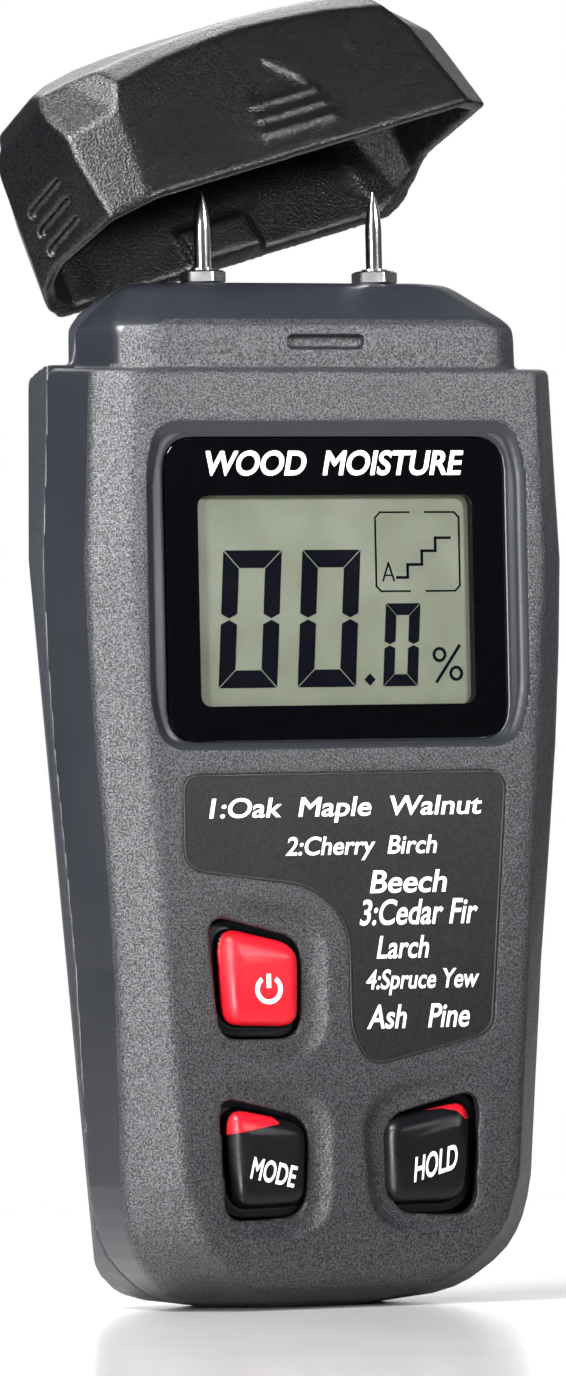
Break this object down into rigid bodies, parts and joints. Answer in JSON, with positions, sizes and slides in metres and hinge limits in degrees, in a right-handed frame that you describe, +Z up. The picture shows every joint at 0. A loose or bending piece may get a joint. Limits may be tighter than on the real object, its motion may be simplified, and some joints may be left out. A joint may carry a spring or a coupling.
{
  "type": "moisture meter",
  "caption": "Handheld two-pin wood moisture meter standing upright, with a dark plastic housing, display window, keys, battery door and an open protective cap.",
  "frame": {"origin": "middle of the flat land at the lower end of the housing, on its centre line", "axes": "+Z up through the electrode pins, -Y out of the display face, +X to the right seen from the front"},
  "size_m": [0.0688, 0.0494, 0.175],
  "materials": {
    "front_shell": "fine moulded grain, satin dark grey",
    "rear_shell": "fine moulded grain, satin dark grey",
    "display_window": "polished clear acrylic with a black printed border",
    "lcd_frame": "plain white moulding",
    "lcd_glass": "clear",
    "lcd_backing": "grey green reflector film",
    "contact_strips": "silicone with conductive layers",
    "species_label": "printed film",
    "circuit_board": "green solder mask",
    "controller_chip": "moulded package",
    "board_components": "moulded and ceramic parts",
    "switch_bodies": "moulded",
    "power_button": "satin red",
    "power_plunger": "moulded",
    "mode_button": "satin black",
    "mode_red_insert": "satin red",
    "mode_plunger": "moulded",
    "hold_button": "satin black",
    "hold_red_insert": "satin red",
    "hold_plunger": "moulded",
    "left_pin": "polished",
    "right_pin": "polished",
    "pin_nuts": "bright plated",
    "pin_sockets": "turned",
    "pin_leads": "insulated wire",
    "battery": "printed steel case",
    "battery_terminals": "nickel plated",
    "battery_clip": "moulded",
    "battery_leads": "insulated wire",
    "battery_pad": "foam",
    "battery_door": "fine moulded grain, satin dark grey",
    "case_screws": "zinc plated",
    "board_screws": "zinc plated",
    "cap_shell": "fine moulded grain, near black"
  },
  "bodies": {
    "housing": {"front_shell": "front_shell", "rear_shell": "rear_shell", "display_window": "display_window", "lcd_frame": "lcd_frame", "lcd_glass": "lcd_glass", "lcd_backing": "lcd_backing", "contact_strips": "contact_strips", "species_label": "species_label", "circuit_board": "circuit_board", "controller_chip": "controller_chip", "board_components": "board_components", "switch_bodies": "switch_bodies", "left_pin": "left_pin", "right_pin": "right_pin", "pin_nuts": "pin_nuts", "pin_sockets": "pin_sockets", "pin_leads": "pin_leads", "battery": "battery", "battery_terminals": "battery_terminals", "battery_clip": "battery_clip", "battery_leads": "battery_leads", "battery_pad": "battery_pad", "case_screws": "case_screws", "board_screws": "board_screws"},
    "cap": {"cap_shell": "cap_shell"},
    "door": {"battery_door": "battery_door"},
    "power_key": {"power_button": "power_button", "power_plunger": "power_plunger"},
    "mode_key": {"mode_button": "mode_button", "mode_red_insert": "mode_red_insert", "mode_plunger": "mode_plunger"},
    "hold_key": {"hold_button": "hold_button", "hold_red_insert": "hold_red_insert", "hold_plunger": "hold_plunger"}
  },
  "joints": [
    {"name": "cap_swing", "type": "hinge", "parent": "housing", "child": "cap", "pos_m": [-0.02555, 0.03733, 0.1223], "axis": [-0.7889, -0.5347, 0.3028], "range_deg": [-32.9, 0]},
    {"name": "battery_door_tilt", "type": "hinge", "parent": "housing", "child": "door", "pos_m": [0, 0.01405, 0.00755], "axis": [-1, 0, 0], "range_deg": [0, 75]},
    {"name": "power_press", "type": "slide", "parent": "housing", "child": "power_key", "axis": [0, 1, 0], "range_m": [0, 0.0008], "stiffness_N_per_m": 1500},
    {"name": "mode_press", "type": "slide", "parent": "housing", "child": "mode_key", "axis": [0, 1, 0], "range_m": [0, 0.0008], "stiffness_N_per_m": 1500},
    {"name": "hold_press", "type": "slide", "parent": "housing", "child": "hold_key", "axis": [0, 1, 0], "range_m": [0, 0.0008], "stiffness_N_per_m": 1500}
  ]
}
